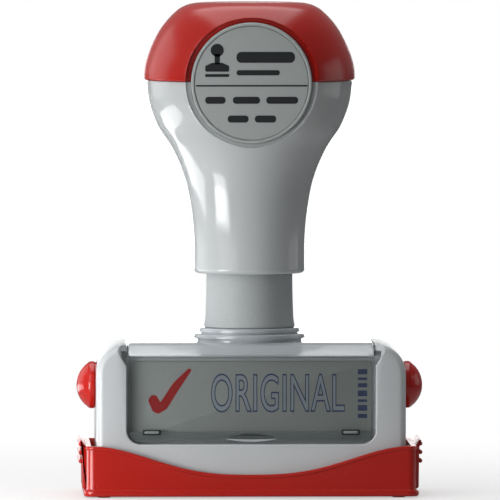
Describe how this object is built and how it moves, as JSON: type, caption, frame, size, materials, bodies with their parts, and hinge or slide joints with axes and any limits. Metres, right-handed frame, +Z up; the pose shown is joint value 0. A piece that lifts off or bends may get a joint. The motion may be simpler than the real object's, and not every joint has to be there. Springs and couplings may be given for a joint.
{
  "type": "pre-inked hand stamp",
  "caption": "Hand stamp with a round palm knob on a sprung stem, a casing with hinged index windows, side release buttons and a push-on dust cover.",
  "frame": {"origin": "on the standing surface, under the middle of the object's outer box", "axes": "+Z up along the stem, +X along the casing's long side to the right of the badge, -Y out of the front, where the badge is"},
  "size_m": [0.0666, 0.0366, 0.0948],
  "materials": {
    "grip_grey": "smooth glossy moulded grey",
    "cap_red": "smooth glossy moulded red",
    "frame_grey": "satin moulded grey",
    "clear_plastic": "polished clear plastic with a faint grey tint",
    "neck_grey": "fine matte moulded grey",
    "button_red": "smooth glossy moulded red",
    "cover_red": "smooth glossy moulded red",
    "badge_grey": "satin grey with dark printing",
    "card": "coated grey-green card with red and blue printing",
    "inner_black": "matte moulded black",
    "steel": "drawn spring steel and plated screws",
    "ink_foam": "open-cell foam soaked with ink",
    "die_rubber": "microporous printing rubber"
  },
  "bodies": {
    "casing": {"outer_frame": "frame_grey", "top_cover": "clear_plastic", "neck_tube": "neck_grey", "front_index_card": "card", "rear_index_card": "card"},
    "handle": {"grip_shell": "grip_grey", "top_cap": "cap_red", "badge_disc": "badge_grey", "badge_label": "badge_grey", "plunger_rod": "inner_black", "grip_screw": "steel", "screw_washer": "steel", "spring_washer": "steel", "return_spring": "steel", "die_holder": "inner_black", "ink_foam": "ink_foam", "die_plate": "die_rubber", "die_clamp": "inner_black"},
    "front_flap": {"front_window": "clear_plastic"},
    "rear_flap": {"rear_window": "clear_plastic"},
    "right_release": {"right_button": "button_red", "right_button_spring": "steel"},
    "left_release": {"left_button": "button_red", "left_button_spring": "steel"},
    "cover": {"dust_cover": "cover_red"}
  },
  "joints": [
    {"name": "handle_press", "type": "slide", "parent": "casing", "child": "handle", "axis": [0, 0, -1], "range_m": [0, 0.0047], "stiffness_N_per_m": 500, "springref_m": -0.006, "deforming": ["return_spring"]},
    {"name": "right_button_push", "type": "slide", "parent": "casing", "child": "right_release", "axis": [-1, 0, 0], "range_m": [0, 0.0015], "stiffness_N_per_m": 500, "springref_m": -0.001, "deforming": ["right_button_spring"]},
    {"name": "left_button_push", "type": "slide", "parent": "casing", "child": "left_release", "axis": [1, 0, 0], "range_m": [0, 0.0015], "stiffness_N_per_m": 500, "springref_m": -0.001, "deforming": ["left_button_spring"]},
    {"name": "front_window_open", "type": "hinge", "parent": "casing", "child": "front_flap", "pos_m": [0, -0.01477, 0.0261], "axis": [-1, 0, 0], "range_deg": [0, 80]},
    {"name": "rear_window_open", "type": "hinge", "parent": "casing", "child": "rear_flap", "pos_m": [0, 0.01063, 0.0261], "axis": [1, 0, 0], "range_deg": [0, 80]},
    {"name": "dust_cover_pull", "type": "slide", "parent": "casing", "child": "cover", "axis": [0, 0, -1], "range_m": [0, 0.02]}
  ]
}
